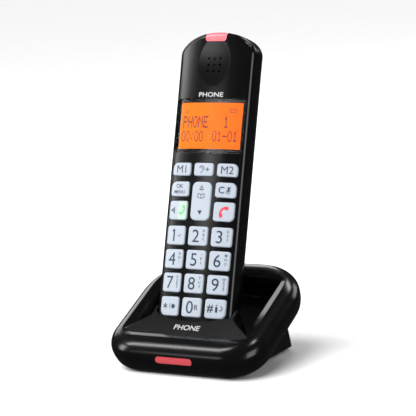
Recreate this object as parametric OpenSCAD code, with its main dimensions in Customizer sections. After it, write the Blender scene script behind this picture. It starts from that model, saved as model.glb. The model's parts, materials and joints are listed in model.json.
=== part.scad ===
// Cordless phone standing in its charging base.
// X runs across the phone, +Y runs away from the person using it and +Z is up.
// The origin is on the table, under the middle of the whole object.

/* [Keys] */
// Width of a key
key_w = 12.3; // [10.5:0.1:15]
// Height of a number key and of a talk key
key_h = 10.7; // [9:0.1:13]
// Height of the menu and cancel keys
menu_h = 8.4; // [7:0.1:10]
// Height of the three memory keys
memory_h = 7.3; // [6:0.1:9]
// Space between the key columns
column_gap = 2.25; // [2:0.05:3.5]
// Space between the number rows
row_gap = 2.5; // [2:0.1:4]
// Space between blocks of keys
block_gap = 3.3; // [2.6:0.1:5]
// How far a key stands above the face
key_rise = 0.9; // [0.4:0.1:1.4]
// How far a key goes in when it is pressed
key_travel = 0.8; // [0.4:0.1:1]
// Tilt of the rocker key each way
rocker_tilt = 2.5; // [1:0.5:3]

/* [Handset] */
// Width of the face outside the outer keys
side_margin = 3.3; // [3.2:0.1:6]
// Length of the handset below the lowest keys
chin = 13.4; // [12.5:0.1:20]
// Space between the memory keys and the display
display_gap = 8.2; // [5:0.1:12]
// Height of the lit part of the display
display_h = 26; // [20:0.5:34]
// Distance from the lit display up to the middle of the earpiece
earpiece_gap = 21.4; // [20:0.1:30]
// Distance from the middle of the earpiece to the top of the handset
crest = 19; // [17:0.5:28]
// Height of the rounded top end
crest_round = 13; // [10:0.5:15]
// How far the crowned face falls back at its edges
crown_sag = 2.8; // [2:0.1:3]
// Radius of the front edges
edge_r = 3; // [2:0.1:3.4]
// Depth of the joint line between the two handset shells
split_t = 9.8; // [9.6:0.1:11]
// Wall of the handset shells
handset_wall = 1.8; // [1.4:0.1:2]
// Diameter of a battery cell, which sets the thickness of the handset
cell_d = 10.4; // [8.6:0.1:12.6]
// Length of a battery cell
cell_len = 44.5; // [37:0.5:54]
// Room between the cells and the battery door
cell_room = 0.9; // [0.5:0.1:2]

/* [Base] */
// Tilt of the ring of the base
ring_tilt = 24.75; // [20:0.25:28]
// Lean of the handset back from upright
handset_lean = 17.7; // [14:0.1:20]
// Room between the side of the handset and the ridge of the ring
side_well = 18; // [14:0.5:26]
// Length of the apron from the front of the ridge to the face of the handset
apron_len = 13.2; // [11:0.1:18]
// Room between the back of the handset and the back of the ridge
back_well = 18.2; // [16:0.1:26]
// Length of the face that is sunk below the ring
sunk = 10; // [8:0.1:12]
// Depth of the ring
ring_h = 18.4; // [17.5:0.1:22]
// Outward swell of the ring beside the ridge
ring_swell = 7.4; // [6:0.1:12]
// Outward swell of the ring in front of the ridge
front_swell = 12.8; // [10:0.1:16]
// Outward swell of the ring behind the ridge
back_swell = 10.9; // [8:0.1:14]
// Depth of the fullest line of the ring
waist_drop = 8.2; // [6:0.1:9]
// Depth of the hollow in the ring
bowl_depth = 12.6; // [10:0.1:12.8]
// Wall of the base shells
base_wall = 2; // [1.6:0.1:2.2]
// Width of the foot
stand_w = 68.4; // [62:0.2:76]
// Lean of the foot's rear face
rear_lean = 17; // [8:1:20]
// Width of the light bar
bar_w = 23; // [16:1:30]
// Height of the light bar
bar_h = 3.5; // [2.5:0.1:4]
// Travel of the sprung charging pins and of the paging button
pin_travel = 0.8; // [0.4:0.1:1]

/* [Clearances] */
// Gap round each key in its opening
key_gap = 0.25; // [0.2:0.05:0.35]
// Gap round the handset in its pocket
pocket_gap = 0.6; // [0.4:0.1:1]
// Gap between pieces that move past each other
slip = 0.3; // [0.2:0.05:0.4]

/* [Hidden] */
$fn = 48;

// The thickness of the handset comes from the battery cells
door_t = 1.5;
bay_wall = 0.9;
bay_floor = split_t + 0.3 + bay_wall;
cell_play = 0.2;
handset_t = bay_floor + cell_play + cell_d + cell_room + door_t;

// Handset layout. Heights are measured up from the bottom end of the handset.
handset_w = 3 * key_w + 2 * column_gap + 2 * side_margin;
half_w = handset_w / 2;
crown_r = (half_w * half_w + crown_sag * crown_sag) / (2 * crown_sag);
column = key_w + column_gap;
star_row = chin + key_h / 2;
row_pitch = key_h + row_gap;
talk_row = star_row + 3 * row_pitch + key_h + block_gap;
menu_row = talk_row + key_h / 2 + row_gap + menu_h / 2;
memory_row = menu_row + menu_h / 2 + block_gap + memory_h / 2;
rocker_top = menu_row + menu_h / 2;
rocker_bottom = talk_row - key_h / 2;
rocker_h = rocker_top - rocker_bottom;
rocker_row = (rocker_top + rocker_bottom) / 2;
display_row = memory_row + memory_h / 2 + display_gap + display_h / 2;
earpiece_row = display_row + display_h / 2 + earpiece_gap;
handset_len = earpiece_row + crest;

// Depths inside the handset, measured back from the middle of the face
key_lip = 0.7;      // how far a key's flange reaches past its cap
flange_t = 1;       // thickness of that flange
rocker_gap = 0.4;   // the rocker swings, so its opening is wider
key_corner = 1.8;
edge_sag = crown_depth(half_w - handset_wall);
mat_y = edge_sag + handset_wall + key_gap + flange_t + key_travel + 0.2;
mat_t = 0.8;
dome_t = 0.4;
board_t = 1;
board_y = split_t - board_t - 0.3;
dome_y = board_y - dome_t;
window_t = 1.2;
window_w = handset_w - 4.8;
window_h = display_h + 5;
lcd_w = handset_w - 7;
lcd_h = display_h + 3;
lcd_t = 1.6;
lcd_y = crown_depth(lcd_w / 2) + handset_wall;
board_bottom = chin - 1.4;
board_top = display_row + lcd_h / 2 + 2;
screw_x = half_w - 10;
low_screw = chin / 2;
high_screw = board_top + 4;
screw_r = 1.1;
head_r = 2.3;
head_t = 1.6;
boss_r = 3;
screw_play = 0.05;  // play of a screw's shank in its boss
speaker_r = 7;
speaker_t = 4;
gasket_t = 1;
speaker_y = crown_depth(speaker_r) + handset_wall + gasket_t;
mic_r = 2.4;
lens_w = 13.4;
lens_h = 5.8;
lens_back = split_t - 0.6;

// Battery bay
cell_x = cell_d / 2 + 0.5;
cell_y = bay_floor + cell_play + cell_d / 2;
bay_h = cell_len + 9;
bay_w = 2 * cell_d + 4;
bay_low = chin + 26;
bay_mid = bay_low + bay_h / 2;
door_rim = 3;
contact_t = 0.6;
loud_r = 10;
loud_t = 4.5;
loud_back = handset_t - handset_wall - 1.8;
loud_row = bay_low + bay_h + door_rim + loud_r + 6;

// Charging contacts, in the handset's own frame
contact_x = 9;
contact_y = split_t + 3.4;
contact_w = 6;
contact_d = 4;
pin_r = 1.3;
collar_r = 2.1;
collar_t = 0.8;
seat_gap = 0.4;     // the handset's end stands this far above the pocket floor
pin_top = -0.15;
pin_collar = -(seat_gap + base_wall + slip);
carrier_z = pin_collar - collar_t - pin_travel - 2.2;
carrier_t = 1.1;

// Ring of the base, in its own tilted frame: x across, s back along the slope, n out of it
cos_fit = cos(ring_tilt + handset_lean);
ridge_half = half_w + side_well;
ridge_len = apron_len + handset_t / cos_fit + back_well;
ridge_bulge = 8;
ridge_corner = 9;
ring_half = ridge_half + ring_swell;
ring_back = ridge_len + back_swell;
ring_front_r = 21.9;
ring_back_r = 31;
top_inset = 10.8;
bottom_inset = 5.1;
base_split = 15;
ring_lift = 0.4;
chamfer_w = 2.5;
chamfer_n = 1.2;
bowl_draft = 3.5;
apron_rise = 0.22;
bar_n = 6.2;
bar_t = 2.4;
base_screw_x = ridge_half - 2.4;
base_screw_s = [12, ridge_len - 22];
slab_z = ring_lift + (front_swell - bottom_inset) * sin(ring_tilt) + ring_h * cos(ring_tilt);

// Where the handset stands, from the front of the ridge
seat_y = apron_len * cos(ring_tilt) - sunk * sin(handset_lean);
seat_z = slab_z + apron_len * sin(ring_tilt) - sunk * cos(handset_lean);
reach_back = seat_y + (handset_len - crest_round * 0.49) * sin(handset_lean) + handset_t * cos(handset_lean);
reach_front = -front_swell * cos(ring_tilt) + 0.64 * waist_drop * sin(ring_tilt);
slab_y = -(reach_back + reach_front) / 2;

// Foot of the base
foot_t = 1.2;
plane_y = slab_y + ring_h * sin(ring_tilt) - (slab_z - ring_h * cos(ring_tilt) - foot_t) / tan(ring_tilt);
stand_front = slab_y + seat_y + 4.5;
stand_back = slab_y + ring_back * cos(ring_tilt) - 2.5;
stand_wall = 2;
floor_top = foot_t + stand_wall;
stand_top_y = (stand_back + plane_y * tan(ring_tilt) * tan(rear_lean)) / (1 + tan(ring_tilt) * tan(rear_lean));
stand_top_z = foot_t + (stand_top_y - plane_y) * tan(ring_tilt);
base_board_z = floor_top + 2.6;
base_board_t = 1.6;
base_board_front = stand_back - 27.5;
base_board_back = stand_back - 5.2;
socket_z = base_board_z + base_board_t;
socket_w = 13;
socket_h = 10.5;
socket_d = 12;
socket_x = 17;
socket_back = rear_y(socket_z + socket_h) - 0.3;
button_r = 4;
button_rise = 1;
button_z = socket_z + 6;
foot_r = 4.5;
foot_x = stand_w / 2 - 7;
front_foot_y = slab_y + ring_h * sin(ring_tilt) + 1;
rear_foot_y = stand_back - 7;
foot_recess = 0.8;

shell_black = [0.05, 0.05, 0.055];
key_white = [0.86, 0.87, 0.93];
metal = [0.75, 0.75, 0.77];
board_green = [0.08, 0.28, 0.16];
light_red = [0.85, 0.3, 0.32];

// How far the crowned face has fallen back at a distance x from the middle
function crown_depth(x) = crown_r - sqrt(crown_r * crown_r - x * x);

// y of the foot's sloping rear face at a height
function rear_y(z) = stand_back - (z - foot_t) * tan(rear_lean);

// Points along an elliptical arc
function arc(cx, cy, rx, ry, from, to, steps) =
  [for (i = [0 : steps]) let (a = from + (to - from) * i / steps) [cx + rx * cos(a), cy + ry * sin(a)]];

// Outline of a rectangle with round corners
function rounded(w, h, r) = concat(
  arc(w / 2 - r, h / 2 - r, r, r, 0, 90, 4), arc(r - w / 2, h / 2 - r, r, r, 90, 180, 4),
  arc(r - w / 2, r - h / 2, r, r, 180, 270, 4), arc(w / 2 - r, r - h / 2, r, r, 270, 360, 4));

// Section of the handset across its length: crowned face, round edges, full back
function section_right(e, t0, r) = concat(
  arc(half_w - e - r, t0 + r + crown_depth(half_w - edge_r), r, r, -80, 0, 4),
  [for (a = [6 : 6 : 84]) [(half_w - e) * pow(cos(a), 0.88), split_t + (handset_t - e - split_t) * sin(a)]]);
function section(e) = let (
  right = section_right(e, e, max(edge_r - e, 0.6)),
  last = len(right) - 1,
  inner = half_w - e - max(edge_r - e, 0.6))
  concat(
    [for (i = [-5 : 5]) [inner * i / 6, e + crown_depth(inner * i / 6)]], right,
    [for (i = [last : -1 : 0]) [-right[i][0], right[i][1]]]);

// Outline of the handset seen from the front
function face_outline(e) = concat(
  arc(half_w - 9, 9, 9 - e, 9 - e, -90, 0, 5),
  arc(0, handset_len - crest_round, half_w - e, crest_round - e, 0, 180, 22),
  arc(9 - half_w, 9, 9 - e, 9 - e, 180, 270, 5));

// Outline of the handset seen from its side, as depth and height
function side_outline(e) = concat(
  arc(3.5 - 3, 3 + e, 3, 3, 180, 270, 3), arc(handset_t - e - 6, 6 + e, 6, 6, 270, 360, 5),
  arc(handset_t - e - 10, handset_len - e - 10, 10, 10, 0, 90, 6),
  arc(4.5 - 5, handset_len - e - 4, 4.5, 4, 90, 180, 3));

// Frames that the pieces are drawn in
module in_ring() { translate([0, slab_y, slab_z]) rotate([ring_tilt, 0, 0]) children(); }
module in_handset() { translate([0, slab_y + seat_y, seat_z]) rotate([-handset_lean, 0, 0]) children(); }
module on_face(x, z) { translate([x, 0, z]) rotate([90, 0, 0]) children(); }

// Everything within a radius about the axis of the crowned face
module crown(r, low, high) { translate([0, crown_r, low]) cylinder(r = r, h = high - low, $fn = 128); }

// Solid form of the handset, with every face moved in by e
module handset_form(e) {
  intersection() {
    linear_extrude(handset_len) polygon(section(e));
    translate([0, handset_t + 5, 0]) rotate([90, 0, 0]) linear_extrude(handset_t + 10) polygon(face_outline(e));
    translate([-half_w - 1, 0, 0]) rotate([90, 0, 90]) linear_extrude(handset_w + 2) polygon(side_outline(e));
  }
}

// Plain prism through the face: w by h, from depth a to depth b
module through(x, z, w, h, r, a, b) {
  translate([x, b, z]) rotate([90, 0, 0]) linear_extrude(b - a) polygon(rounded(w, h, r));
}

// Rod from depth a to depth b
module rod(x, z, r, a, b) { translate([x, b, z]) rotate([90, 0, 0]) cylinder(r = r, h = b - a); }

// Where each plain key is, and its height
keys = [
  [-column, memory_row, memory_h], [0, memory_row, memory_h], [column, memory_row, memory_h],
  [-column, menu_row, menu_h], [column, menu_row, menu_h],
  [-column, talk_row, key_h], [column, talk_row, key_h],
  for (row = [3 : -1 : 0], col = [-1 : 1]) [col * column, star_row + row * row_pitch, key_h]
];

// One key: a cap that follows the crowned face, a flange that keeps it in, and a plunger
module key_solid(x, z, h, w, gap) {
  back = crown_r - handset_wall - key_gap - flange_t;
  tip = mat_y - key_travel - 0.2;
  color(key_white) in_handset() {
    difference() {
      union() {
        intersection() {
          through(x, z, w, h, key_corner, -2, tip);
          crown(crown_r + key_rise, z - h, z + h);
        }
        intersection() {
          through(x, z, w + 2 * key_lip, h + 2 * key_lip, key_corner, 0, tip);
          crown(crown_r - handset_wall - gap, z - h, z + h);
        }
      }
      crown(back, z - h - 1, z + h + 1);
    }
    rod(x, z, 1.8, crown_depth(abs(x)) + handset_wall + key_gap + 0.4, tip);
  }
}
module plain_key(i) { key_solid(keys[i][0], keys[i][1], keys[i][2], key_w, key_gap); }

// The rocker is cut back at its flange's ends, so that they stay clear of the shell when it tips
module key_rocker() {
  swing = rocker_h / 2 * sin(rocker_tilt);
  key_solid(0, rocker_row, rocker_h, key_w, key_gap + swing);
}

// Openings for the keys, the display, the earpiece, the microphone and the screws
module face_openings() {
  for (key = keys) through(key[0], key[1], key_w + 2 * key_gap, key[2] + 2 * key_gap, key_corner, -2, split_t);
  through(0, rocker_row, key_w + 2 * rocker_gap, rocker_h + 2 * rocker_gap, key_corner, -2, split_t);
  through(0, display_row, window_w - 2.4, window_h - 2.4, 1, -2, split_t);
  difference() {
    through(0, display_row, window_w, window_h, 2, -2, split_t);
    crown(crown_r - window_t, display_row - window_h, display_row + window_h);
  }
  for (col = [-1 : 1], row = [-1 : 1]) rod(col * 3.65, earpiece_row + row * 3.65, 0.65, -2, split_t);
  rod(0, chin * 0.6, 0.6, -2, split_t);
}

// Front half of the handset's housing
module handset_front_shell() {
  color(shell_black) in_handset() difference() {
    union() {
      difference() {
        handset_form(0);
        handset_form(handset_wall);
      }
      for (side = [-1, 1], z = [low_screw, high_screw]) {
        rod(side * screw_x, z, boss_r, crown_depth(screw_x + boss_r) + 1, split_t);
      }
    }
    translate([-half_w - 1, split_t, -1]) cube([handset_w + 2, handset_t, handset_len + 2]);
    face_openings();
    for (side = [-1, 1], z = [low_screw, high_screw]) {
      rod(side * screw_x, z, screw_r + screw_play, split_t - 6, split_t + 1);
    }
    lens_space(0);
  }
}

// The part of the crest that the light lens takes
module lens_space(e) {
  translate([-lens_w / 2 + e, -2, handset_len - lens_h]) cube([lens_w - 2 * e, lens_back + 2, lens_h + 1]);
}

// Red lens of the ringing light, shaped like the crest that it fills
module ring_light_lens() {
  color(light_red) in_handset() intersection() {
    difference() {
      handset_form(0);
      handset_form(handset_wall);
    }
    lens_space(0);
  }
}

// Small light behind that lens
module ring_light_led() {
  color("white") in_handset() translate([-2, 3, handset_len - handset_wall - 4.2]) cube([4, 3, 2.5]);
}

// Space that the battery door fills, in the back of the housing
module door_space(e) {
  through(0, bay_mid, bay_w + 6 - 2 * e, bay_h + 2 * door_rim - 2 * e, 3, split_t + 6, handset_t + 2);
}

// Back half of the housing, with the battery bay, the loudspeaker grille and the screw wells
module handset_back_shell() {
  color(shell_black) in_handset() difference() {
    union() {
      difference() {
        handset_form(0);
        handset_form(handset_wall);
      }
      intersection() {
        handset_form(handset_wall / 2);
        through(0, bay_mid, bay_w + 2 * bay_wall, bay_h + 2 * bay_wall, 1.5, split_t + 0.3, handset_t);
      }
      intersection() {
        handset_form(handset_wall / 2);
        for (side = [-1, 1], z = [low_screw, high_screw]) rod(side * screw_x, z, boss_r, split_t, handset_t);
      }
      intersection() {
        handset_form(handset_wall / 2);
        difference() {
          through(0, bay_mid, bay_w + 9, bay_h + 2 * door_rim + 3, 3, split_t + 6, handset_t);
          handset_form(door_t + 1.2);
        }
      }
    }
    translate([-half_w - 1, -10, -1]) cube([handset_w + 2, 10 + split_t, handset_len + 2]);
    through(0, bay_mid, bay_w, bay_h, 1, bay_floor, handset_t + 2);
    difference() {
      door_space(0);
      handset_form(door_t);
    }
    for (side = [-1, 1], z = [low_screw, high_screw]) {
      rod(side * screw_x, z, screw_r + screw_play, split_t - 1, handset_t);
      rod(side * screw_x, z, head_r + 0.4, screw_seat(), handset_t + 1);
    }
    for (row = [-3 : 3]) through(0, loud_row + row * 2.2, 13, 1.1, 0.5, split_t + 6, handset_t + 1);
    for (side = [-1, 1]) {
      translate([side * contact_x - contact_w / 2, contact_y - contact_d / 2, -1])
        cube([contact_w, contact_d, handset_wall + 2]);
    }
  }
}
function screw_seat() = split_t + 4;

// Battery door: it follows the back of the handset and drops straight into its recess
module battery_door() {
  color(shell_black) in_handset() intersection() {
    difference() {
      handset_form(0);
      handset_form(door_t - slip);
    }
    door_space(slip);
  }
}

// Clear window over the display, flush with the face
module display_window() {
  color([0.1, 0.1, 0.12, 0.6]) in_handset() intersection() {
    through(0, display_row, window_w, window_h, 2, -2, split_t);
    difference() {
      crown(crown_r, display_row - window_h, display_row + window_h);
      crown(crown_r - window_t, display_row - window_h - 1, display_row + window_h + 1);
    }
  }
}

module lcd_panel() {
  color([1, 0.4, 0.05]) in_handset() through(0, display_row, lcd_w, lcd_h, 0.6, lcd_y, lcd_y + lcd_t);
}

module lcd_backlight() {
  color("white") in_handset() through(0, display_row, lcd_w, lcd_h, 0.6, lcd_y + lcd_t, board_y);
}

// Main board of the handset, clamped at the joint line
module handset_circuit_board() {
  color(board_green) in_handset() {
    through(0, (board_bottom + board_top) / 2, handset_w - 7, board_top - board_bottom, 2, board_y, board_y + board_t);
  }
}

// Rubber mat under the keys
module keypad_mat() {
  low = chin - 1;
  high = memory_row + memory_h / 2 + 1;
  color([0.5, 0.5, 0.52]) in_handset() {
    through(0, (low + high) / 2, handset_w - 7, high - low, 2, mat_y, mat_y + mat_t);
    for (key = keys) rod(key[0], key[1], 1.5, mat_y + mat_t - 0.1, dome_y);
    for (side = [-1, 1]) rod(0, rocker_row + side * rocker_h / 4, 1.5, mat_y + mat_t - 0.1, dome_y);
  }
}

// Metal domes on the board, one under each key and two under the rocker
module dome_switches() {
  color(metal) in_handset() {
    for (key = keys) rod(key[0], key[1], 3, dome_y, board_y);
    for (side = [-1, 1]) rod(0, rocker_row + side * rocker_h / 4, 3, dome_y, board_y);
  }
}

// Earpiece: a round speaker held against the face by a foam ring
module earpiece_speaker() {
  color("dimgray") in_handset() rod(0, earpiece_row, speaker_r, speaker_y, speaker_y + speaker_t);
}

module earpiece_gasket() {
  color([0.2, 0.2, 0.2]) in_handset() difference() {
    rod(0, earpiece_row, speaker_r, speaker_y - gasket_t, speaker_y);
    rod(0, earpiece_row, speaker_r - 1.2, speaker_y - gasket_t - 1, speaker_y + 1);
  }
}

// Microphone behind its hole in the chin
module microphone() {
  color(metal) in_handset() rod(0, chin * 0.6, mic_r, handset_wall + 0.2, handset_wall + 2.4);
}

// Hands-free loudspeaker behind the grille in the back
module loudspeaker() {
  color("dimgray") in_handset() {
    rod(0, loud_row, loud_r, loud_back - loud_t, loud_back);
    rod(0, loud_row, loud_r - 3, loud_back - loud_t - 2, loud_back - loud_t + 0.1);
  }
}

module battery_cell(side) {
  color([0.2, 0.5, 0.35]) in_handset() translate([side * cell_x, cell_y, bay_mid - cell_len / 2]) {
    cylinder(d = cell_d, h = cell_len - 1);
    cylinder(d = 4, h = cell_len);
  }
}
module battery_cell_left() { battery_cell(-1); }
module battery_cell_right() { battery_cell(1); }

// Contact plates at both ends of the battery bay
module battery_contacts() {
  color(metal) in_handset() for (side = [-1, 1]) {
    for (z = [bay_low + 0.2, bay_low + bay_h - contact_t - 0.2]) {
      translate([side * cell_x - 4, cell_y - 4, z]) cube([8, 8, contact_t]);
    }
  }
}

// Plates in the bottom end that stand on the charging pins
module charge_contacts() {
  color(metal) in_handset() for (side = [-1, 1]) {
    translate([side * contact_x - contact_w / 2, contact_y - contact_d / 2, 0.1]) {
      cube([contact_w, contact_d, handset_wall]);
    }
  }
}

// Four screws that hold the two halves of the handset together
module handset_screws() {
  color(metal) in_handset() for (side = [-1, 1], z = [low_screw, high_screw]) {
    rod(side * screw_x, z, screw_r, split_t - 5.5, screw_seat() + 0.2);
    rod(side * screw_x, z, head_r, screw_seat(), screw_seat() + head_t);
  }
}

module key_memory_1() { plain_key(0); }
module key_boost() { plain_key(1); }
module key_memory_2() { plain_key(2); }
module key_menu() { plain_key(3); }
module key_cancel() { plain_key(4); }
module key_talk() { plain_key(5); }
module key_end() { plain_key(6); }

// Outline of the ring at an inset from its waist
function ring_outline(e) = let (
  hw = ring_half - e, front = e - front_swell, back = ring_back - e,
  rf = max(ring_front_r - e, 2), rb = max(ring_back_r - e, 2))
  concat(
    arc(hw - rf, front + rf, rf, rf, -90, 0, 7), arc(hw - rb, back - rb, rb, rb, 0, 90, 9),
    arc(rb - hw, back - rb, rb, rb, 90, 180, 9), arc(rf - hw, front + rf, rf, rf, 180, 270, 7));

// Outline of the ridge, moved in by e: square front corners, bowed back
function ridge_outline(e) = let (
  hw = ridge_half - e, r = max(ridge_corner - e, 2), side = ridge_len - ridge_bulge, back = ridge_len - e)
  concat(
    arc(hw - r, r + e, r, r, -90, 0, 5),
    arc(0, side, hw, back - side, 8, 172, 14),
    arc(r - hw, r + e, r, r, 180, 270, 5));

// Solid through a stack of outlines that have the same number of points
module loft(rings) {
  n = len(rings[0]);
  m = len(rings);
  polyhedron(
    points = [for (ring = rings, p = ring) p],
    faces = concat(
      [[for (i = [0 : n - 1]) i]], [[for (i = [n - 1 : -1 : 0]) (m - 1) * n + i]],
      [for (k = [0 : m - 2], i = [0 : n - 1]) let (j = (i + 1) % n) [k * n + i, (k + 1) * n + j, k * n + j]],
      [for (k = [0 : m - 2], i = [0 : n - 1]) let (j = (i + 1) % n) [k * n + i, (k + 1) * n + i, (k + 1) * n + j]]));
}
function at_height(outline, n) = [for (p = outline) [p[0], p[1], n]];

// Bullnosed ring, with its skin moved in by e
module ring_body(e) {
  under = ring_h - waist_drop;
  loft(concat(
    [for (a = [180 : -18 : 90])
      at_height(ring_outline(e + bottom_inset * (1 - sin(a))), -waist_drop + (under - e) * cos(a))],
    [for (a = [72 : -18 : 0])
      at_height(ring_outline(e + top_inset * (1 - sin(a))), (e - waist_drop) * (1 - cos(a)) - e)]));
}

// Hollow of the ring, grown by e to make the outside of its wall
module bowl(e) {
  loft([
    at_height(ridge_outline(chamfer_w + bowl_draft - e), -bowl_depth - e),
    at_height(ridge_outline(chamfer_w - e), -chamfer_n - e),
    at_height(ridge_outline(-e), 0.01 - e * 0.4),
    at_height(ridge_outline(-e), 6)]);
}

// Apron in front of the handset: its top climbs from the ridge to the face
module apron(e) {
  high = apron_len + 10;
  intersection() {
    rotate([90, 0, 90]) translate([0, 0, -ridge_half]) linear_extrude(2 * ridge_half) polygon([
      [-3, -base_split - 3], [high, -base_split - 3], [high, (high - 8) * apron_rise - e], [-3, -1.9 - e]]);
    translate([0, 0, -base_split - 2]) linear_extrude(base_split + 10) polygon([
      [-ridge_half - 2, -3], [ridge_half + 2, -3], [ridge_half + 2 - e, 3 + e], [half_w + 2.5 - e, apron_len + 3],
      [half_w + 2.5 - e, high], [-half_w - 2.5 + e, high], [-half_w - 2.5 + e, apron_len + 3],
      [-ridge_half - 2 + e, 3 + e]]);
  }
}

// Straight prism along the handset, grown by e
module pocket(e, low, high) {
  translate([0, 0, low]) linear_extrude(high - low) polygon(section(-e));
}

// The tub that holds the end of the handset, below the hollow of the ring
module tub(e) {
  intersection() {
    in_handset() pocket(pocket_gap + base_wall + e, -seat_gap - base_wall - e, 40);
    in_ring() translate([-60, -20, -60]) cube([120, 120, 60 - bowl_depth + e + 0.5]);
  }
}

// Space of the light bar in the front of the ring
module bar_space(e) {
  translate([0, -front_swell + 4, -bar_n]) rotate([90, 0, 0]) {
    linear_extrude(9) polygon(rounded(bar_w + 2 * e, bar_h + 2 * e, bar_h / 2 + e - 0.05));
  }
}

// Upper shell of the base: bullnosed ring, hollow, apron and tub in one moulding
module base_top_shell() {
  color(shell_black) difference() {
    union() {
      in_ring() difference() {
        ring_body(0);
        ring_body(base_wall);
        translate([-80, -40, -base_split - 20]) cube([160, 160, 20]);
      }
      in_ring() difference() {
        intersection() {
          ring_body(base_wall / 2);
          union() {
            bowl(base_wall);
            apron(0);
            for (side = [-1, 1], s = base_screw_s) {
              translate([side * base_screw_x, s, -base_split]) cylinder(r = boss_r, h = base_split - 2);
            }
          }
        }
        translate([-80, -40, -base_split - 20]) cube([160, 160, 20]);
      }
      tub(0);
    }
    in_ring() difference() {
      bowl(0);
      apron(0);
    }
    difference() {
      in_ring() apron(base_wall);
      tub(0.01);
      in_handset() pocket(pocket_gap + base_wall, -20, 60);
    }
    in_handset() pocket(pocket_gap, -seat_gap, 60);
    in_handset() for (side = [-1, 1]) translate([side * contact_x, contact_y, -10]) cylinder(r = pin_r + slip, h = 12);
    in_ring() for (side = [-1, 1], s = base_screw_s) {
      translate([side * base_screw_x, s, -base_split - 1]) cylinder(r = screw_r + screw_play, h = 9);
    }
    in_ring() bar_space(0.05);
  }
}

// Red light bar, flush with the front of the ring
module light_bar() {
  color(light_red) in_ring() intersection() {
    ring_body(0);
    bar_space(0);
    translate([-bar_w, -front_swell - 1, -20]) cube([2 * bar_w, bar_t + 1, 20]);
  }
}

// Small board with the lights behind the bar
module light_board() {
  color(board_green) in_ring() {
    translate([-bar_w / 2, bar_t + 2.4 - front_swell, -bar_n - 3.4]) cube([bar_w, 1, 5]);
    for (x = [-6, 6]) translate([x - 1.5, bar_t + 1.4 - front_swell, -bar_n - 1]) cube([3, 1.1, 2]);
  }
}

// Lower tray of the base
module base_bottom_shell() {
  color(shell_black) difference() {
    in_ring() difference() {
      intersection() {
        ring_body(0);
        translate([-80, -40, -base_split - 20]) cube([160, 160, 20]);
      }
      difference() {
        translate([0, 0, base_wall - ring_h]) linear_extrude(ring_h) polygon(ring_outline(bottom_inset + base_wall));
        for (side = [-1, 1], s = base_screw_s) {
          translate([side * base_screw_x, s, -ring_h]) cylinder(r = boss_r + 0.5, h = ring_h - base_split);
        }
      }
      for (side = [-1, 1], s = base_screw_s) translate([side * base_screw_x, s, -ring_h - 1]) {
        cylinder(r = screw_r + screw_play, h = 9);
        cylinder(r = head_r + 0.3, h = 1 + head_t);
      }
    }
    tub(slip);
    in_handset() translate([-contact_x - 6, contact_y - 4, carrier_z - 2]) cube([2 * contact_x + 12, 8, 12]);
  }
}

// Wedge foot that holds the ring up, with the rear face that the leads plug into
module base_stand() {
  color(shell_black) difference() {
    rotate([90, 0, 90]) translate([0, 0, -stand_w / 2]) linear_extrude(stand_w) polygon([
      [stand_front, foot_t], [stand_back, foot_t], [stand_top_y, stand_top_z],
      [stand_front, foot_t + (stand_front - plane_y) * tan(ring_tilt)]]);
    rotate([90, 0, 90]) translate([0, 0, stand_wall - stand_w / 2]) linear_extrude(stand_w - 2 * stand_wall) polygon([
      [stand_front + stand_wall, floor_top], [rear_y(floor_top) - stand_wall, floor_top],
      [stand_top_y - stand_wall, stand_top_z], [stand_front + stand_wall, stand_top_z]]);
    for (side = [-1, 1]) {
      translate([side * socket_x - socket_w / 2 - 0.1, base_board_front, socket_z - 0.1])
        cube([socket_w + 0.2, 40, socket_h + 0.2]);
      translate([side * foot_x, rear_foot_y, 0]) cylinder(r = foot_r, h = foot_t + foot_recess);
    }
    on_rear(0) cylinder(r = button_r + slip, h = 12, center = true);
    in_handset() translate([-contact_x - 4 - slip, contact_y - 3 - slip, carrier_z - carrier_t - slip]) {
      cube([2 * (contact_x + 4 + slip), 6 + 2 * slip, 4]);
    }
  }
}

// Frame on the rear face of the foot, with its Z pointing out of the face
module on_rear(x) {
  translate([x, rear_y(button_z), button_z]) rotate([rear_lean - 90, 0, 0]) children();
}

module page_button() {
  color([0.3, 0.3, 0.32]) on_rear(0) {
    translate([0, 0, -stand_wall - slip]) cylinder(r = button_r, h = stand_wall + slip + button_rise);
    translate([0, 0, -stand_wall - slip - 1]) cylinder(r = button_r + 1, h = 1);
  }
}

// Main board of the base, on four posts of the foot's floor
module base_circuit_board() {
  color(board_green) {
    translate([-stand_w / 2 + 4, base_board_front, base_board_z])
      cube([stand_w - 8, base_board_back - base_board_front, base_board_t]);
    for (side = [-1, 1], y = [base_board_front + 2, base_board_back - 4]) {
      translate([side * (stand_w / 2 - 7), y, floor_top]) cylinder(r = 1.5, h = base_board_z - floor_top + 0.1);
    }
  }
}

// Modular socket on the board, open at the rear
module socket(side, mouth_w) {
  color([0.12, 0.12, 0.13]) translate([side * socket_x, socket_back - socket_d, socket_z]) difference() {
    translate([-socket_w / 2, 0, 0]) cube([socket_w, socket_d, socket_h]);
    translate([-mouth_w / 2, 2, 2]) cube([mouth_w, socket_d, 6]);
    translate([-1.6, 2, 7]) cube([3.2, socket_d, 1.8]);
  }
}
module line_socket() { socket(-1, 8); }
module power_socket() { socket(1, 6.4); }

// Plate under the tub that holds the pins and their springs
module pin_carrier() {
  color(board_green) in_handset() difference() {
    translate([-contact_x - 4, contact_y - 3, carrier_z - carrier_t]) cube([2 * contact_x + 8, 6, carrier_t]);
    for (side = [-1, 1]) translate([side * contact_x, contact_y, carrier_z - 5]) cylinder(r = 1.1, h = 8);
  }
}

module pin_springs() {
  color(metal) in_handset() for (side = [-1, 1]) translate([side * contact_x, contact_y, carrier_z]) {
    difference() {
      cylinder(r = 2, h = 1.9);
      translate([0, 0, -1]) cylinder(r = 1.4, h = 5);
    }
  }
}

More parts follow.
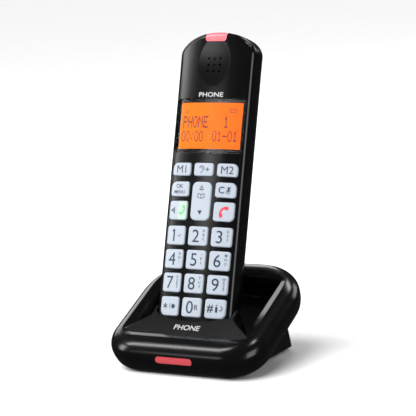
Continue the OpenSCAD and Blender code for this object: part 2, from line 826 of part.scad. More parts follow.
// Sprung pin, drawn as it stands when the handset rests on it
module charge_pin(side) {
  color([0.85, 0.7, 0.35]) in_handset() translate([side * contact_x, contact_y, 0]) {
    translate([0, 0, pin_collar]) cylinder(r = pin_r, h = pin_top - pin_collar);
    translate([0, 0, pin_collar - collar_t]) cylinder(r = collar_r, h = collar_t);
    translate([0, 0, carrier_z + 0.2]) cylinder(r = 0.8, h = pin_collar - carrier_z - 0.5);
  }
}
module charge_pin_left() { charge_pin(-1); }
module charge_pin_right() { charge_pin(1); }

// Four rubber feet: two under the front of the tray and two under the foot
module base_feet() {
  color([0.15, 0.15, 0.15]) for (side = [-1, 1]) {
    difference() {
      translate([side * foot_x, front_foot_y, 0]) cylinder(r = foot_r, h = 12);
      in_ring() translate([-60, -40, -ring_h]) cube([120, 120, 40]);
    }
    translate([side * foot_x, rear_foot_y, 0]) cylinder(r = foot_r, h = foot_t + foot_recess);
  }
}

// Four screws that hold the tray to the upper shell
module base_screws() {
  color(metal) in_ring() for (side = [-1, 1], s = base_screw_s) translate([side * base_screw_x, s, 0]) {
    translate([0, 0, head_t - ring_h - 0.2]) cylinder(r = screw_r, h = 8);
    translate([0, 0, -ring_h]) cylinder(r = head_r, h = head_t);
  }
}

handset_front_shell();
handset_back_shell();
battery_door();
display_window();
lcd_panel();
lcd_backlight();
handset_circuit_board();
keypad_mat();
dome_switches();
earpiece_speaker();
earpiece_gasket();
microphone();
loudspeaker();
ring_light_lens();
ring_light_led();
battery_cell_left();
battery_cell_right();
battery_contacts();
charge_contacts();
handset_screws();
key_memory_1();
key_boost();
key_memory_2();
key_menu();
key_cancel();
key_rocker();
key_talk();
key_end();
plain_key(7);  // key_1
plain_key(8);  // key_2
plain_key(9);  // key_3
plain_key(10);  // key_4
plain_key(11);  // key_5
plain_key(12);  // key_6
plain_key(13);  // key_7
plain_key(14);  // key_8
plain_key(15);  // key_9
plain_key(16);  // key_star
plain_key(17);  // key_0
plain_key(18);  // key_hash
base_top_shell();
base_bottom_shell();
base_stand();
light_bar();
light_board();
base_circuit_board();
pin_carrier();
pin_springs();
charge_pin_left();
charge_pin_right();
line_socket();
power_socket();
page_button();
base_feet();
base_screws();
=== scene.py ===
# Cordless telephone: a handset with large keys, leaning in its charging base.
# The sections follow the phone as it is put together. Their sizes are the maker's millimetres;
# every piece is turned into its place in metres when it is finished.

import json
from math import atan2, cos, pi, radians, sin, sqrt

import bmesh
import bpy
from mathutils import Matrix, Vector


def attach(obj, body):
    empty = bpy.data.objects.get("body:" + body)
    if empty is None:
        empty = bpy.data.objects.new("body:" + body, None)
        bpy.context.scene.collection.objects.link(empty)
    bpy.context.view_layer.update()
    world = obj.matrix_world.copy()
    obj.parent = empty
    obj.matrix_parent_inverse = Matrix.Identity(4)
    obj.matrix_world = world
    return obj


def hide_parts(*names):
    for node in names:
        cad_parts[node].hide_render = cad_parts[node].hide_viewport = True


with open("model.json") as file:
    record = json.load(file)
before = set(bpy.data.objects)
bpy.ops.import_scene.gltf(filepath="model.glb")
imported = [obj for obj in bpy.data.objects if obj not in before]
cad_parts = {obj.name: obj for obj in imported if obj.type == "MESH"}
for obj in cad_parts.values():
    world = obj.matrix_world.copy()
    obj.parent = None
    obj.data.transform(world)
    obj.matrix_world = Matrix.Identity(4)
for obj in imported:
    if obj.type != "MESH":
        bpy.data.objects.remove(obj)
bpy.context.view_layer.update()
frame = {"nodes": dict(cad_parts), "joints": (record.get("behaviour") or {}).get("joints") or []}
joints = {joint["name"]: joint for joint in frame["joints"]}

# ------------------------------------------------------------------ Camera
# Eye level a little above the phone and well round to its right, with a long lens
# so that the sides stay nearly parallel.
view_turn, view_drop, view_roll = radians(30.76), radians(10.26), radians(3.87)
view_aim = Vector((0.01469, -0.02195, 0.09054))
view_distance = 0.9757
forward = Vector((-sin(view_turn) * cos(view_drop), cos(view_turn) * cos(view_drop), -sin(view_drop)))
level = Vector((cos(view_turn), sin(view_turn), 0))
above = level.cross(forward)
right = level * cos(view_roll) - above * sin(view_roll)
top = level * sin(view_roll) + above * cos(view_roll)
camera = bpy.data.objects.new("camera", bpy.data.cameras.new("camera"))
camera.data.lens = 155.8
camera.data.sensor_width = 36
camera.matrix_world = (Matrix.Translation(view_aim - forward * view_distance)
                       @ Matrix((right, top, -forward)).transposed().to_4x4())
bpy.context.scene.collection.objects.link(camera)
bpy.context.scene.camera = camera


# ------------------------------------------------------------------ Studio
# A pale matt floor in broad soft daylight. The room is dark to reflections, so black gloss shows
# only the soft boxes, which stand where its rounded edges mirror them to the lens.
class Value:
    """One output of a node. Sums and products of values add Math nodes."""

    def __init__(self, finish, socket):
        self.finish = finish
        self.socket = socket

    def _math(self, operation, first, second):
        return self.finish.add("ShaderNodeMath", {"operation": operation}, {0: first, 1: second})

    def __add__(self, other):
        return self._math("ADD", self, other)

    def __radd__(self, other):
        return self._math("ADD", other, self)

    def __sub__(self, other):
        return self._math("SUBTRACT", self, other)

    def __rsub__(self, other):
        return self._math("SUBTRACT", other, self)

    def __mul__(self, other):
        return self._math("MULTIPLY", self, other)

    def __rmul__(self, other):
        return self._math("MULTIPLY", other, self)


class Finish:
    """A material, or the room's backdrop, built up node by node."""

    def __init__(self, name, owner=None):
        self.owner = owner or bpy.data.materials.new(name)
        self.owner.use_nodes = True
        self.tree = self.owner.node_tree
        self.tree.nodes.clear()

    def add(self, kind, settings=None, sockets=None, out=0):
        """A node of a kind, with its settings first, then the values or links of its sockets."""
        node = self.tree.nodes.new(kind)
        for name, value in (settings or {}).items():
            setattr(node, name, value)
        for name, value in (sockets or {}).items():
            if isinstance(value, Value):
                self.tree.links.new(value.socket, node.inputs[name])
            else:
                node.inputs[name].default_value = value
        return Value(self, node.outputs[out]) if node.outputs else node

    def grain(self, scale, detail=2.0, stretch=(1, 1, 1)):
        """Noise about 0.5 with a pattern of so many lumps a metre."""
        place = self.add("ShaderNodeTexCoord", out=3)
        place = self.add("ShaderNodeMapping", {}, {0: place, 3: stretch})
        return self.add("ShaderNodeTexNoise", {}, {"Vector": place, "Scale": scale, "Detail": detail})

    def tint(self, factor, first, second):
        """The first colour where the factor is 0, and the second where it is 1."""
        return self.add("ShaderNodeMix", {"data_type": "RGBA"},
                        {0: factor, 6: (*first, 1), 7: (*second, 1)}, out=2)

    def surface(self, sockets):
        """Ends the material in one Principled surface."""
        shade = self.add("ShaderNodeBsdfPrincipled", {}, sockets)
        self.add("ShaderNodeOutputMaterial", {}, {"Surface": shade})
        return self.owner


floor_finish = Finish("studio_floor")
floor_paper = floor_finish.tint(floor_finish.grain(30), (0.86, 0.86, 0.86), (0.9, 0.9, 0.9))
studio_floor_paint = floor_finish.surface({"Base Color": floor_paper, "Roughness": 0.9})
floor_half = 6.0
bm = bmesh.new()
bmesh.ops.create_grid(bm, x_segments=1, y_segments=1, size=floor_half)
floor_mesh = bpy.data.meshes.new("floor")
bm.to_mesh(floor_mesh)
bm.free()
floor_mesh.materials.append(studio_floor_paint)
floor = bpy.data.objects.new("floor", floor_mesh)
floor.visible_glossy = False
bpy.context.scene.collection.objects.link(floor)

bpy.context.scene.view_settings.view_transform = "Standard"
room = bpy.data.worlds.new("room")
bpy.context.scene.world = room
backdrop = Finish("room", room)
seen = backdrop.add("ShaderNodeLightPath", out=0)
dim = backdrop.add("ShaderNodeBackground", {}, {"Color": (0.8, 0.85, 0.9, 1), "Strength": 0.05})
white = backdrop.add("ShaderNodeBackground", {}, {"Color": (1, 1, 1, 1), "Strength": 1.0})
shown = backdrop.add("ShaderNodeMixShader", {}, {0: seen, 1: dim, 2: white})
backdrop.add("ShaderNodeOutputWorld", {}, {"Surface": shown})

sun = bpy.data.lights.new("daylight", "SUN")
sun.energy = 4.2
sun.angle = radians(60)
daylight = bpy.data.objects.new("daylight", sun)
daylight.matrix_world = Vector((-0.3, -0.5, 0.8)).to_track_quat("Z", "Y").to_matrix().to_4x4()
daylight.visible_glossy = False
bpy.context.scene.collection.objects.link(daylight)


def soft_box(name, toward, away, wide, high, watts):
    """A rectangular soft box that stands off in a direction from the phone's middle and faces it."""
    middle = Vector((0, 0, 0.09))
    place = middle + Vector(toward).normalized() * away
    lamp = bpy.data.lights.new(name, "AREA")
    lamp.shape = "RECTANGLE"
    lamp.size = wide
    lamp.size_y = high
    lamp.energy = watts
    box = bpy.data.objects.new(name, lamp)
    turn = (middle - place).to_track_quat("-Z", "Y")
    box.matrix_world = Matrix.Translation(place) @ turn.to_matrix().to_4x4()
    bpy.context.scene.collection.objects.link(box)


soft_box("top_left_box", (-0.50, -0.24, 0.80), 1.2, 0.2, 0.6, 3.8)
soft_box("corner_box", (0.30, -0.02, 0.94), 1.2, 0.15, 0.15, 1.4)
soft_box("crest_box", (0.11, 0.62, 0.80), 1.2, 0.4, 0.2, 2.0)
soft_box("rear_left_box", (-0.67, 0.62, 0.40), 1.5, 1.25, 0.65, 6.5)
soft_box("right_box", (0.83, -0.42, 0.24), 1.3, 0.6, 0.8, 5.0)
soft_box("left_box", (-0.826, -0.421, 0.375), 1.4, 0.34, 0.6, 4.0)
soft_box("rear_box", (0.45, 0.85, 0.45), 1.4, 0.7, 0.5, 3.0)
soft_box("front_spot", (-0.4445, -0.8152, 0.371), 1.4, 0.25, 0.2, 0.5)

# ------------------------------------------------------------------ Handset housing, front half
# Glossy black ABS moulding with a crowned face, rounded rims and an arched crest. Openings for
# the keys, window, earpiece and microphone are moulded in; four screws hold it to the back half.
mm = 0.001
lean = atan2(joints["handset_lift"]["axis"][1], joints["handset_lift"]["axis"][2])
rocker_pivot = Vector((0, 3, 77.8))
in_handset = Matrix.Rotation(-lean, 4, "X") @ Matrix.Scale(mm, 4)
pivot_place = Vector(joints["key_rocker_tilt"]["pos_m"])
in_handset = Matrix.Translation(pivot_place - in_handset @ rocker_pivot) @ in_handset

half_w = 24
handset_len = 173.8
handset_t = 24.0
split_t = 9.8
wall = 1.8
crown_r = 104.2
crest_round = 12.9
rim = 3.4
foot_corner = 9
key_rise = 0.9


def fallen(x):
    """How far the crowned face has fallen back at a distance x from its middle line."""
    return crown_r - sqrt(crown_r * crown_r - x * x)


def loft(loops, segments=96):
    """A closed solid through loops. Each loop gives the point at a turn, which runs from 0 to 2 pi."""
    bm = bmesh.new()
    turn = bm.verts.layers.float.new("turn")
    bmesh.ops.create_circle(bm, cap_ends=True, segments=segments, radius=1)
    bm.verts.ensure_lookup_table()
    for i, v in enumerate(bm.verts):
        v[turn] = 2 * pi * i / segments
    bm.faces.ensure_lookup_table()
    face = bm.faces[0]
    for k, loop in enumerate(loops):
        if k:
            grown = bmesh.ops.extrude_face_region(bm, geom=[face])["geom"]
            if k > 1:
                bmesh.ops.delete(bm, geom=[face], context="FACES_ONLY")
            face = next(g for g in grown if isinstance(g, bmesh.types.BMFace))
        for v in face.verts:
            v.co = loop(v[turn])
    bmesh.ops.recalc_face_normals(bm, faces=bm.faces)
    return bm


def handset_outline(turn, inset, wide=1.0, low=0.0, high=0.0):
    """Point of the handset's outline: an arch at the crest, round corners at the bottom end."""
    half = half_w - inset
    corner = foot_corner - inset
    crest = crest_round - inset
    if turn <= pi + 0.001:
        x, z = half * cos(turn), handset_len - inset - crest + crest * sin(turn)
    else:
        side = -1 if turn < 1.5 * pi - 0.001 else 1
        if abs(turn - 1.5 * pi) < 0.001:
            side = 0
        x = side * (half - corner) + (corner * cos(turn) if side else 0)
        z = inset + corner * (1 + sin(turn))
    z = low + (z / handset_len) * (handset_len - low - high)
    return x * wide, z


def handset_solid(inset):
    """The handset's form, with every face moved in by an inset."""
    loops = []
    back = handset_t - inset - split_t
    for a in [radians(84 - 7 * k) for k in range(13)]:
        y = split_t + back * sin(a)
        over = max(0, y - (handset_t - 10))
        under = max(0, y - (handset_t - 6))
        high = 10 - sqrt(max(0, 100 - over * over))
        low = 6 - sqrt(max(0, 36 - under * under))

        def ring(turn, y=y, a=a, low=low, high=high):
            x, z = handset_outline(turn, inset, cos(a) ** 0.88, low, high)
            return Vector((x, y, z))
        loops.append(ring)
    round_r = max(rim - inset, 0.8)
    for a in [radians(90 - 15 * k) for k in range(7)]:
        step = round_r * (1 - sin(a))
        depth = inset + round_r * (1 - cos(a))

        def ring(turn, step=step, depth=depth):
            x, z = handset_outline(turn, inset + step)
            return Vector((x, depth, z))
        loops.append(ring)
    bm = loft(loops)
    for k in range(-10, 11):
        face_geom = [f for f in bm.faces if all(v.co.y < inset + 0.01 for v in f.verts)]
        geom = list({g for f in face_geom for g in (*f.verts, *f.edges)}) + face_geom
        bmesh.ops.bisect_plane(bm, geom=geom, plane_co=(k * 2.0, 0, 0), plane_no=(1, 0, 0), dist=0.0001)
    for v in bm.verts:
        if v.co.y < split_t - 0.01:
            v.co.y += fallen(min(abs(v.co.x), half_w - rim))
    bmesh.ops.recalc_face_normals(bm, faces=bm.faces)
    return bm


def block(low, high):
    """A plain box between two corners, used to cut with."""
    bm = bmesh.new()
    bmesh.ops.create_cube(bm, size=1)
    size = Vector(high) - Vector(low)
    bmesh.ops.scale(bm, vec=size, verts=bm.verts)
    bmesh.ops.translate(bm, vec=Vector(low) + size / 2, verts=bm.verts)
    return bm


def pushed(bm, along):
    """Draws a flat mesh out into a solid."""
    grown = bmesh.ops.extrude_face_region(bm, geom=list(bm.faces))["geom"]
    far = [g for g in grown if isinstance(g, bmesh.types.BMVert)]
    bmesh.ops.translate(bm, vec=along, verts=far)
    bmesh.ops.recalc_face_normals(bm, faces=bm.faces)
    return bm


def plate(x, z, wide, high, corners, front, back, segments=5):
    """A plate facing the handset's face. Its corner radii run bottom left, right, then top left, right."""
    bm = bmesh.new()
    bmesh.ops.create_grid(bm, x_segments=1, y_segments=1, size=0.5)
    for v in bm.verts:
        v.co = Vector((x + v.co.x * wide, front, z + v.co.y * high))
    places = [(-1, -1), (1, -1), (-1, 1), (1, 1)]
    for place, r in zip(places, corners):
        corner = Vector((x + place[0] * wide / 2, front, z + place[1] * high / 2))
        v = min(bm.verts, key=lambda v: (v.co - corner).length)
        bmesh.ops.bevel(bm, geom=[v], offset=r, segments=segments, profile=0.5, affect="VERTICES",
                        material=-1)
    return pushed(bm, (0, back - front, 0))


def rod(x, z, r, front, back, segments=20):
    """A round rod square to the handset's face."""
    bm = bmesh.new()
    bmesh.ops.create_cone(bm, cap_ends=True, segments=segments, radius1=r, radius2=r, depth=back - front)
    bmesh.ops.rotate(bm, matrix=Matrix.Rotation(pi / 2, 3, "X"), verts=bm.verts)
    bmesh.ops.translate(bm, vec=(x, (front + back) / 2, z), verts=bm.verts)
    return bm


def gather(*parts):
    """Several bmeshes in one."""
    whole = bmesh.new()
    for part in parts:
        mesh = bpy.data.meshes.new("part")
        part.to_mesh(mesh)
        whole.from_mesh(mesh)
        bpy.data.meshes.remove(mesh)
    return whole


def worked(bm, operation, tool):
    """A closed solid after another is cut from it, joined to it or met with it."""
    pair = []
    for source in (bm, tool):
        mesh = bpy.data.meshes.new("work")
        source.to_mesh(mesh)
        pair.append(bpy.data.objects.new("work", mesh))
        bpy.context.scene.collection.objects.link(pair[-1])
    step = pair[0].modifiers.new("step", "BOOLEAN")
    step.operation = operation
    step.solver = "EXACT"
    step.object = pair[1]
    view = bpy.context.evaluated_depsgraph_get()
    result = bmesh.new()
    result.from_mesh(pair[0].evaluated_get(view).to_mesh())
    for work in pair:
        mesh = work.data
        bpy.data.objects.remove(work)
        bpy.data.meshes.remove(mesh)
    bmesh.ops.remove_doubles(result, verts=result.verts, dist=0.0005)
    return result


def finished(bm, name, body, stands_for, materials, place=Matrix.Scale(mm, 4), sharp=28):
    """Turns a mesh into a piece: placed, smoothed up to an angle, painted, and fixed to its body."""
    mesh = bpy.data.meshes.new(name)
    bm.to_mesh(mesh)
    mesh.transform(place)
    mesh.shade_smooth()
    mesh.set_sharp_from_angle(angle=radians(sharp))
    for material in materials:
        mesh.materials.append(material)
    piece = bpy.data.objects.new(name, mesh)
    bpy.context.scene.collection.objects.link(piece)
    even = piece.modifiers.new("even_shading", "WEIGHTED_NORMAL")
    even.keep_sharp = True
    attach(piece, body)
    if stands_for:
        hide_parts(*stands_for)
    return piece


def moulded(name, dark, light, roughness, spread, bump=0.00001, lumps=900, coat=0.0):
    """Moulded plastic: a faint drift of colour, fine unevenness in the gloss, and a trace of texture."""
    finish = Finish(name)
    drift = finish.grain(60, 3)
    fine = finish.grain(lumps, 3)
    bumps = finish.add("ShaderNodeBump", {}, {"Strength": 0.4, "Distance": bump, "Height": fine})
    return finish.surface({
        "Base Color": finish.tint(drift, dark, light),
        "Roughness": roughness - spread / 2 + spread * (0.6 * fine + 0.4 * drift),
        "Normal": bumps, "Coat Weight": coat, "Coat Roughness": 0.03})


black_gloss = moulded("black_gloss", (0.0012, 0.0012, 0.0014), (0.003, 0.003, 0.0033), 0.2, 0.07)

# Rows of the face, measured up from the bottom end
key_w, key_h, column, row_pitch = 12.3, 10.7, 14.55, 13.2
star_row, talk_row, menu_row, memory_row = 18.75, 72.35, 84.4, 95.55
rocker_row, rocker_h, display_row, earpiece_row = 77.8, 21.6, 120.4, 154.8
small, large = 1.5, 3.2
# name: column, row, height, corner radii (bottom left, bottom right, top left, top right)
keys = {
    "key_memory_1": (-1, memory_row, 7.3, (small, small, large, small)),
    "key_boost": (0, memory_row, 7.3, (small, small, small, small)),
    "key_memory_2": (1, memory_row, 7.3, (small, small, small, large)),
    "key_menu": (-1, menu_row, 8.4, (small, small, large, small)),
    "key_cancel": (1, menu_row, 8.4, (small, small, small, large)),
    "key_talk": (-1, talk_row, key_h, (small, small, small, small)),
    "key_end": (1, talk_row, key_h, (small, large, small, small)),
    "key_rocker": (0, rocker_row, rocker_h, (large, large, large, large)),
}
for place, name in enumerate(("1", "2", "3", "4", "5", "6", "7", "8", "9", "star", "0", "hash")):
    ends = {"star": (large, small, small, small), "hash": (small, large, small, small)}
    keys["key_" + name] = (place % 3 - 1, star_row + (3 - place // 3) * row_pitch, key_h,
                           ends.get(name, (small,) * 4))

window_w, window_h = 43.2, 31.0
lens_w, lens_h, lens_back = 13.4, 5.8, 9.2
openings = [plate(col * column, row, key_w + 0.5, high + 0.5, [r + 0.2 for r in corners], -3, split_t + 1)
            for col, row, high, corners in keys.values()]
openings.append(plate(0, display_row, window_w - 2.4, window_h - 2.4, (1,) * 4, -3, split_t + 1))
openings += [rod(col * 3.65, earpiece_row + row * 3.65, 0.65, -3, split_t, 14)
             for col in (-1, 0, 1) for row in (-1, 0, 1)]
openings.append(rod(0, 8, 0.6, -3, split_t, 14))
openings.append(plate(0, handset_len + 1, lens_w, 2 * lens_h + 2, (1.6, 1.6, 1, 1), -3, lens_back))

seam = 0.05
outer_form = handset_solid(0)
inner_form = handset_solid(wall)
hollow = worked(outer_form, "DIFFERENCE", inner_form)
front = worked(hollow, "DIFFERENCE", block((-40, split_t - seam, -10), (40, 60, 200)))
front = worked(front, "DIFFERENCE", gather(*openings))
window_seat = plate(0, display_row, window_w, window_h, (2,) * 4, -3, 1.2)
for step in range(-20, 21, 4):
    bmesh.ops.bisect_plane(window_seat, geom=[*window_seat.verts, *window_seat.edges, *window_seat.faces],
                           plane_co=(step, 0, 0), plane_no=(1, 0, 0), dist=0.0001)
for v in window_seat.verts:
    if v.co.y > 0:
        v.co.y += 0.1 + fallen(v.co.x)
front = worked(front, "DIFFERENCE", window_seat)

# A shallow oval dish round the earpiece
dish_w, dish_h, dish_deep, dish_row, dish_steps = 10.5, 14.0, 0.8, earpiece_row + 1.5, 12


def dish_point(turn, out, up):
    """Point of the dish at a share of its width from the middle, or so far above its rim."""
    x = dish_w * out * cos(turn)
    y = fallen(x) - 0.01 + dish_deep * (1 - out * out) - up
    return Vector((x, y, dish_row + dish_h * out * sin(turn)))


dish_rings = [(1, 3)] + [(1 - k / dish_steps, 0) for k in range(dish_steps)]
dish = loft([lambda turn, out=out, up=up: dish_point(turn, out, up) for out, up in dish_rings], 64)
front = worked(front, "DIFFERENCE", dish)
finished(front, "front_housing", "handset", ["handset_front_shell"], [black_gloss],
         in_handset)

# ------------------------------------------------------------------ Handset housing, back half
# The other half of the moulding, in the same black ABS. It has the battery bay, the loudspeaker
# grille, four screw wells and two slots in its end for the charging plates.
bay_low, bay_h, bay_w, bay_floor, door_rim = 39.4, 53.5, 24.8, 11.0, 3
bay_mid = bay_low + bay_h / 2
loud_row, screw_x, low_screw, high_screw = 111.9, 14, 6.7, 140.9
back = worked(hollow, "DIFFERENCE", block((-40, -10, -10), (40, split_t + seam, 200)))
tray = plate(0, bay_mid, bay_w + 9, bay_h + 2 * door_rim + 3, (3,) * 4, split_t + 0.3, 40)
tray = worked(tray, "INTERSECT", handset_solid(wall / 2))
back = worked(back, "UNION", tray)
door_place = plate(0, bay_mid, bay_w + 6, bay_h + 2 * door_rim, (3,) * 4, split_t + 6, 40)
recess = worked(door_place, "DIFFERENCE", handset_solid(1.5))
back = worked(back, "DIFFERENCE", recess)
slots = [plate(0, bay_mid, bay_w, bay_h, (1,) * 4, bay_floor, 40)]
slots += [plate(0, loud_row + row * 2.2, 13 - abs(row), 1.1, (0.5,) * 4, split_t + 6, 40)
          for row in range(-3, 4)]
slots += [rod(side * screw_x, z, 2.7, split_t + 4, 40) for side in (-1, 1) for z in (low_screw, high_screw)]
slots += [block((side * 9 - 3, 11.2, -2), (side * 9 + 3, 15.2, 3)) for side in (-1, 1)]
back = worked(back, "DIFFERENCE", gather(*slots))
finished(back, "back_housing", "handset", ["handset_back_shell"], [black_gloss],
         in_handset)

# ------------------------------------------------------------------ Battery door
# A thin black cover that clips over the bay. Five thumb ridges near its lower edge are moulded in.
door_fit = plate(0, bay_mid, bay_w + 5.4, bay_h + 2 * door_rim - 0.6, (2.8,) * 4, split_t + 6, 40)
door = worked(door_fit, "DIFFERENCE", handset_solid(1.2))
door = worked(door, "INTERSECT", outer_form)
grips = [plate(0, bay_low + 4 + 1.6 * k, 12 - k, 0.7, (0.3,) * 4, handset_t - 0.45, 40) for k in range(5)]
door = worked(door, "DIFFERENCE", gather(*grips))
finished(door, "battery_cover", "battery_door", ["battery_door"], [black_gloss],
         in_handset)

# ------------------------------------------------------------------ Window and display
# A clear acrylic window sits flush in the face. Its index is set well below acrylic's 1.49, so that
# it mirrors very little over the display. Behind it is an amber backlit liquid crystal panel in a black
# frame, with its characters in dark red dots.
clear = Finish("clear_acrylic")
window_finish = clear.surface({
    "Base Color": clear.tint(clear.grain(80), (0.97, 0.97, 0.97), (1, 1, 1)),
    "Roughness": 0.01 + 0.03 * clear.grain(900),
    "Transmission Weight": 1.0, "IOR": 1.08})


def crowned(bm, raised=0.0, step=2.0):
    """Bends a flat plate to the crown of the face, at a height above it."""
    reach = int(max(abs(v.co.x) for v in bm.verts) / step) + 1
    for k in range(-reach, reach + 1):
        bmesh.ops.bisect_plane(bm, geom=[*bm.verts, *bm.edges, *bm.faces], plane_co=(k * step, 0, 0),
                               plane_no=(1, 0, 0), dist=0.0001)
    for v in bm.verts:
        v.co.y += fallen(min(abs(v.co.x), half_w)) - raised
    return bm


window = crowned(plate(0, display_row, window_w - 0.16, window_h - 0.16, (1.9,) * 4, 0, 1.0))
finished(window, "display_cover", "handset", ["display_window"], [window_finish], in_handset)

lit_w, lit_h, panel_front = 39.4, 26.0, 1.3
glow = Finish("amber_display")
spot = glow.add("ShaderNodeTexCoord", out=3)
spot = glow.add("ShaderNodeSeparateXYZ", {}, {0: spot}, out=0)
slide = spot * 18.0 + 0.5
amber = glow.tint(slide + 0.1 * glow.grain(120) - 0.05, (1.0, 0.23, 0.006), (0.9, 0.1, 0.012))
amber_deep = glow.tint(glow.grain(120), (0.3, 0.07, 0.004), (0.34, 0.06, 0.006))
amber_finish = glow.surface({"Base Color": amber_deep, "Roughness": 0.5 + 0.1 * glow.grain(1500),
                             "Specular IOR Level": 0.1,
                             "Emission Color": amber, "Emission Strength": 0.85})
ink = Finish("display_ink")
ink_color = ink.tint(ink.grain(500), (0.1, 0.004, 0.003), (0.13, 0.007, 0.004))
ink_finish = ink.surface({"Base Color": ink_color, "Roughness": 0.5 + 0.1 * ink.grain(1500),
                          "Emission Color": ink_color, "Emission Strength": 0.4})


def painted(bm, index):
    """Gives every face of a mesh one of its piece's materials."""
    for face in bm.faces:
        face.material_index = index
    return bm


def stroke(x0, z0, x1, z1, wide, thick=0.06):
    """A straight printed line between two points."""
    bm = bmesh.new()
    bmesh.ops.create_cube(bm, size=1)
    run = Vector((x1 - x0, 0, z1 - z0))
    bmesh.ops.scale(bm, vec=(run.length, thick, wide), verts=bm.verts)
    bmesh.ops.rotate(bm, matrix=Matrix.Rotation(atan2(run.x, run.z) - pi / 2, 3, "Y"), verts=bm.verts)
    bmesh.ops.translate(bm, vec=((x0 + x1) / 2, 0, (z0 + z1) / 2), verts=bm.verts)
    return bm


def lettering(words, x, z, high, wide=None, heavy=0.0):
    """Printed words, centred on a point, with capitals of a height and, if it is given, a width."""
    curve = bpy.data.curves.new("words", "FONT")
    curve.body = words
    curve.extrude = 0.004
    curve.offset = heavy
    curve.resolution_u = 4
    held = bpy.data.objects.new("words", curve)
    bpy.context.scene.collection.objects.link(held)
    bpy.context.view_layer.update()
    mesh = bpy.data.meshes.new_from_object(held.evaluated_get(bpy.context.evaluated_depsgraph_get()))
    bpy.data.objects.remove(held)
    bpy.data.curves.remove(curve)
    bm = bmesh.new()
    bm.from_mesh(mesh)
    bpy.data.meshes.remove(mesh)
    bmesh.ops.remove_doubles(bm, verts=bm.verts, dist=0.0001)
    low = [min(v.co[i] for v in bm.verts) for i in (0, 1)]
    most = [max(v.co[i] for v in bm.verts) for i in (0, 1)]
    grow = high / (most[1] - low[1])
    spread = grow if wide is None else wide / (most[0] - low[0])
    for v in bm.verts:
        v.co = Vector((x + (v.co.x - (low[0] + most[0]) / 2) * spread, -v.co.z * 8,
                       z + (v.co.y - (low[1] + most[1]) / 2) * grow))
    bmesh.ops.recalc_face_normals(bm, faces=bm.faces)
    return bm


# Five by seven dots for each character that the display shows
dots = {
    "P": "11110 10001 10001 11110 10000 10000 10000", "H": "10001 10001 10001 11111 10001 10001 10001",
    "O": "01110 10001 10001 10001 10001 10001 01110", "N": "10001 11001 10101 10011 10001 10001 10001",
    "E": "11111 10000 10000 11110 10000 10000 11111", "0": "01110 10001 10001 10001 10001 10001 01110",
    "1": "00100 01100 00100 00100 00100 00100 01110", ":": "00000 00100 00100 00000 00100 00100 00000",
    "-": "00000 00000 00000 11111 00000 00000 00000", " ": "00000 " * 7,
}


def dotted(words, x, z, wide, high):
    """A line of characters in square dots, from its lower left corner."""
    bm = bmesh.new()
    pitch_x, pitch_z = wide / (6 * len(words) - 1), high / 7
    for i, letter in enumerate(words):
        for row, line in enumerate(dots[letter].split()):
            for col, on in enumerate(line):
                if on == "1":
                    made = bmesh.ops.create_cube(bm, size=1)["verts"]
                    bmesh.ops.scale(bm, vec=(pitch_x * 0.96, 0.06, pitch_z * 0.96), verts=made)
                    bmesh.ops.translate(bm, vec=(x + (6 * i + col + 0.5) * pitch_x, 0,
                                                 z + (6.5 - row) * pitch_z), verts=made)
    return bm


panel = painted(plate(0, display_row, window_w - 2.7, window_h - 2.7, (0.5,) * 4, 0, 1.0), 1)
lit = painted(plate(0, display_row, lit_w, lit_h, (0.3,) * 4, -0.05, 0.5), 0)
line_left, line_low = -lit_w / 2, display_row - lit_h / 2
prints = [dotted("PHONE", line_left + 2.0, line_low + 11.8, 16.8, 6.6),
          dotted("1", line_left + 28.6, line_low + 11.8, 3.2, 6.6),
          dotted("00:00", line_left + 1.6, line_low + 4.0, 14.6, 6.0),
          dotted("01-01", line_left + 22.2, line_low + 4.2, 15.2, 6.0)]
prints += [stroke(line_left + 3, line_low + 20.4, line_left + 4.4, line_low + 20.4, 0.35),
           stroke(line_left + 4.4, line_low + 20.2, line_left + 4.4, line_low + 22, 0.35),
           stroke(line_left + 3.7, line_low + 20.2, line_left + 3.7, line_low + 21.3, 0.35)]
battery_left, battery_low = line_left + 32, line_low + 20.6
prints += [stroke(battery_left, battery_low, battery_left + 3.6, battery_low, 0.3),
           stroke(battery_left, battery_low + 1.9, battery_left + 3.6, battery_low + 1.9, 0.3),
           stroke(battery_left, battery_low, battery_left, battery_low + 1.9, 0.3),
           stroke(battery_left + 3.6, battery_low, battery_left + 3.6, battery_low + 1.9, 0.3)]
prints = painted(gather(*prints), 2)
bmesh.ops.translate(prints, vec=(0, -0.08, 0), verts=prints.verts)
face_of_panel = gather(crowned(panel, -panel_front), crowned(lit, -panel_front),
                       crowned(prints, -panel_front, 50))
finished(face_of_panel, "lit_panel", "handset", ["lcd_panel"],
         [amber_finish, black_gloss, ink_finish], in_handset)

# ------------------------------------------------------------------ Keys
# Pale bluish translucent keys, moulded with a soft rim and crowned like the face, each with a flange
# behind the shell and a plunger over its switch. The legends are printed in dark blue-grey.
key_plastic = Finish("key_plastic")
milky = key_plastic.tint(key_plastic.grain(300), (0.34, 0.38, 0.43), (0.37, 0.41, 0.46))
# The keys give out a faint painted glow in their own colour, which lifts them brighter than the lamps alone
# make them; no lamp lies behind them.
key_finish_painted_glow = key_plastic.surface({
    "Base Color": milky, "Roughness": 0.27 + 0.1 * key_plastic.grain(1200),
    "Emission Color": milky, "Emission Strength": 0.05,
    "Normal": key_plastic.add("ShaderNodeBump", {}, {"Strength": 0.3, "Distance": 0.00001,
                                                     "Height": key_plastic.grain(2500)})})


def printing(name, first, second):
    """Printed ink, a little uneven."""
    finish = Finish(name)
    return finish.surface({"Base Color": finish.tint(finish.grain(1500), first, second),
                           "Roughness": 0.4 + 0.15 * finish.grain(2500)})


